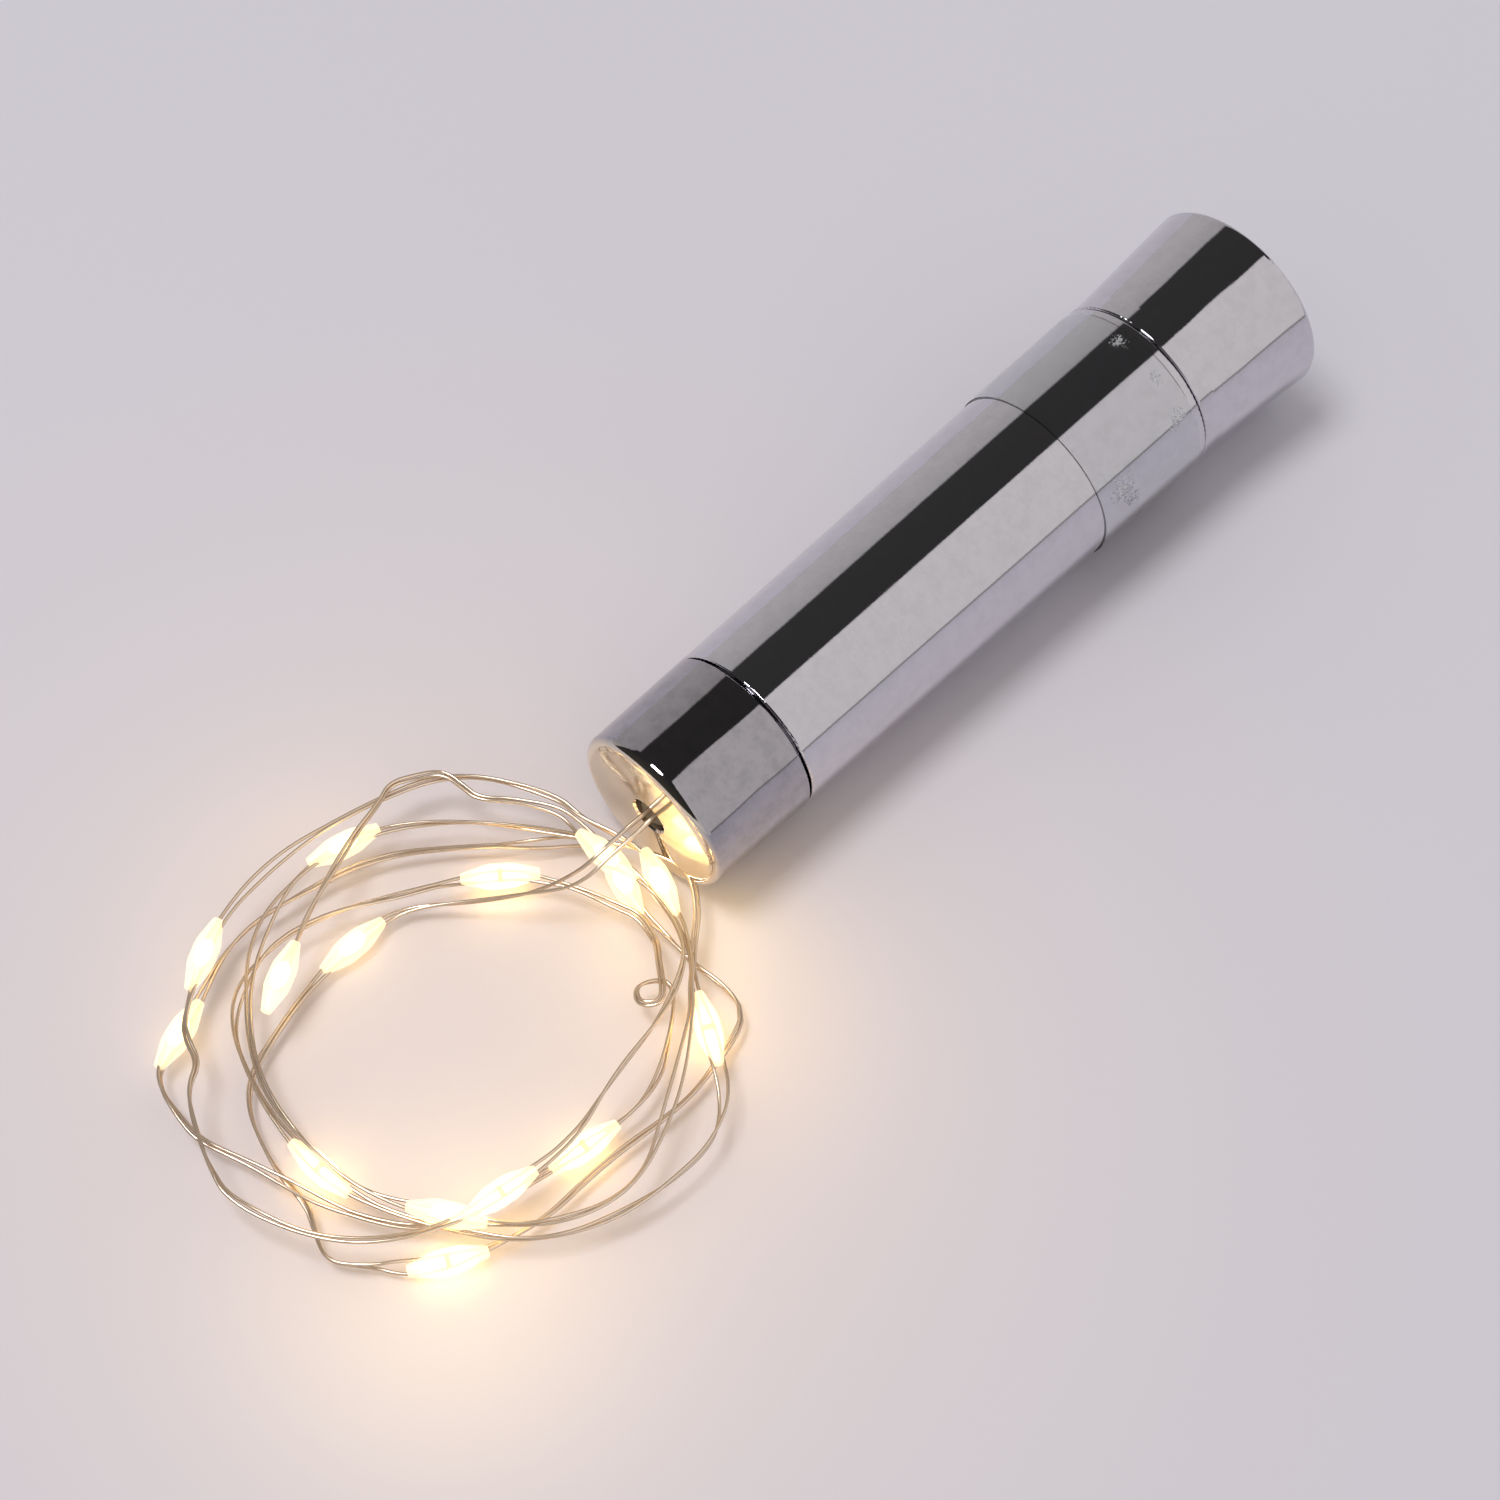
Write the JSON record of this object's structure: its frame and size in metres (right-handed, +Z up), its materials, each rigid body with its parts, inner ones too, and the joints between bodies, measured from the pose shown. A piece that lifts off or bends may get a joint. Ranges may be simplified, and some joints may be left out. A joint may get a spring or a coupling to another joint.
{
  "type": "bottle stopper light",
  "caption": "Slim chrome bottle-stopper case with a flared screw cap, and a loosely coiled string of tiny warm-white lights on fine twin wire leaving its mouth.",
  "frame": {"origin": "on the surface the light lies on, below the middle of the case", "axes": "+X along the case from the wire end to the flared cap, +Z up from the surface"},
  "size_m": [0.1331, 0.0487, 0.0206],
  "materials": {
    "chrome": "mirror chrome plating on plastic",
    "clear_film": "clear label film",
    "holder_plastic": "moulded white plastic",
    "liner_plastic": "moulded black plastic",
    "contact_metal": "stamped brass",
    "spring_wire": "drawn spring wire",
    "cell_steel": "nickel-plated can",
    "board": "solder mask",
    "resistor_paint": "lacquer",
    "red_sleeve": "wire sleeve",
    "black_sleeve": "wire sleeve",
    "hot_glue": "cloudy glue",
    "string_wire": "lacquered silver wire",
    "epoxy": "clear epoxy, lit warm white",
    "lit_chip": "lit light chip"
  },
  "bodies": {
    "case": {"end_collar": "chrome", "barrel": "chrome", "rating_label": "clear_film", "battery_holder": "holder_plastic", "contact_ring": "contact_metal", "side_strip": "contact_metal", "base_contact": "contact_metal", "contact_spring": "spring_wire", "driver_board": "board", "resistor": "resistor_paint", "glue_plug": "hot_glue", "lead_plus": "red_sleeve", "lead_minus": "black_sleeve", "wire_lead": "string_wire", "wire_coil": "string_wire", "led_bead_01": "epoxy", "led_bead_02": "epoxy", "led_bead_03": "epoxy", "led_bead_04": "epoxy", "led_bead_05": "epoxy", "led_bead_06": "epoxy", "led_bead_07": "epoxy", "led_bead_08": "epoxy", "led_bead_09": "epoxy", "led_bead_10": "epoxy", "led_bead_11": "epoxy", "led_bead_12": "epoxy", "led_bead_13": "epoxy", "led_bead_14": "epoxy", "led_bead_15": "epoxy", "led_chip_01": "lit_chip", "led_chip_02": "lit_chip", "led_chip_03": "lit_chip", "led_chip_04": "lit_chip", "led_chip_05": "lit_chip", "led_chip_06": "lit_chip", "led_chip_07": "lit_chip", "led_chip_08": "lit_chip", "led_chip_09": "lit_chip", "led_chip_10": "lit_chip", "led_chip_11": "lit_chip", "led_chip_12": "lit_chip", "led_chip_13": "lit_chip", "led_chip_14": "lit_chip", "led_chip_15": "lit_chip"},
    "cells": {"cell_1": "cell_steel", "cell_2": "cell_steel", "cell_3": "cell_steel"},
    "cap": {"flared_cap": "chrome", "cap_liner": "liner_plastic", "cap_contact": "contact_metal"}
  },
  "joints": [
    {"name": "cap_lift", "type": "slide", "parent": "case", "child": "cells", "axis": [0.9998, 0, 0.0211], "range_m": [0, 0.00438], "deforming": ["contact_spring"]},
    {"name": "cap_turn", "type": "hinge", "parent": "cells", "child": "cap", "pos_m": [0.02536, 0, 0.01002], "axis": [0.9998, 0, 0.0211], "range_deg": [0, 630]}
  ],
  "couplings": [
    {"joint": "cap_turn", "follows": "cap_lift", "rad_per_m": 2513.3}
  ]
}
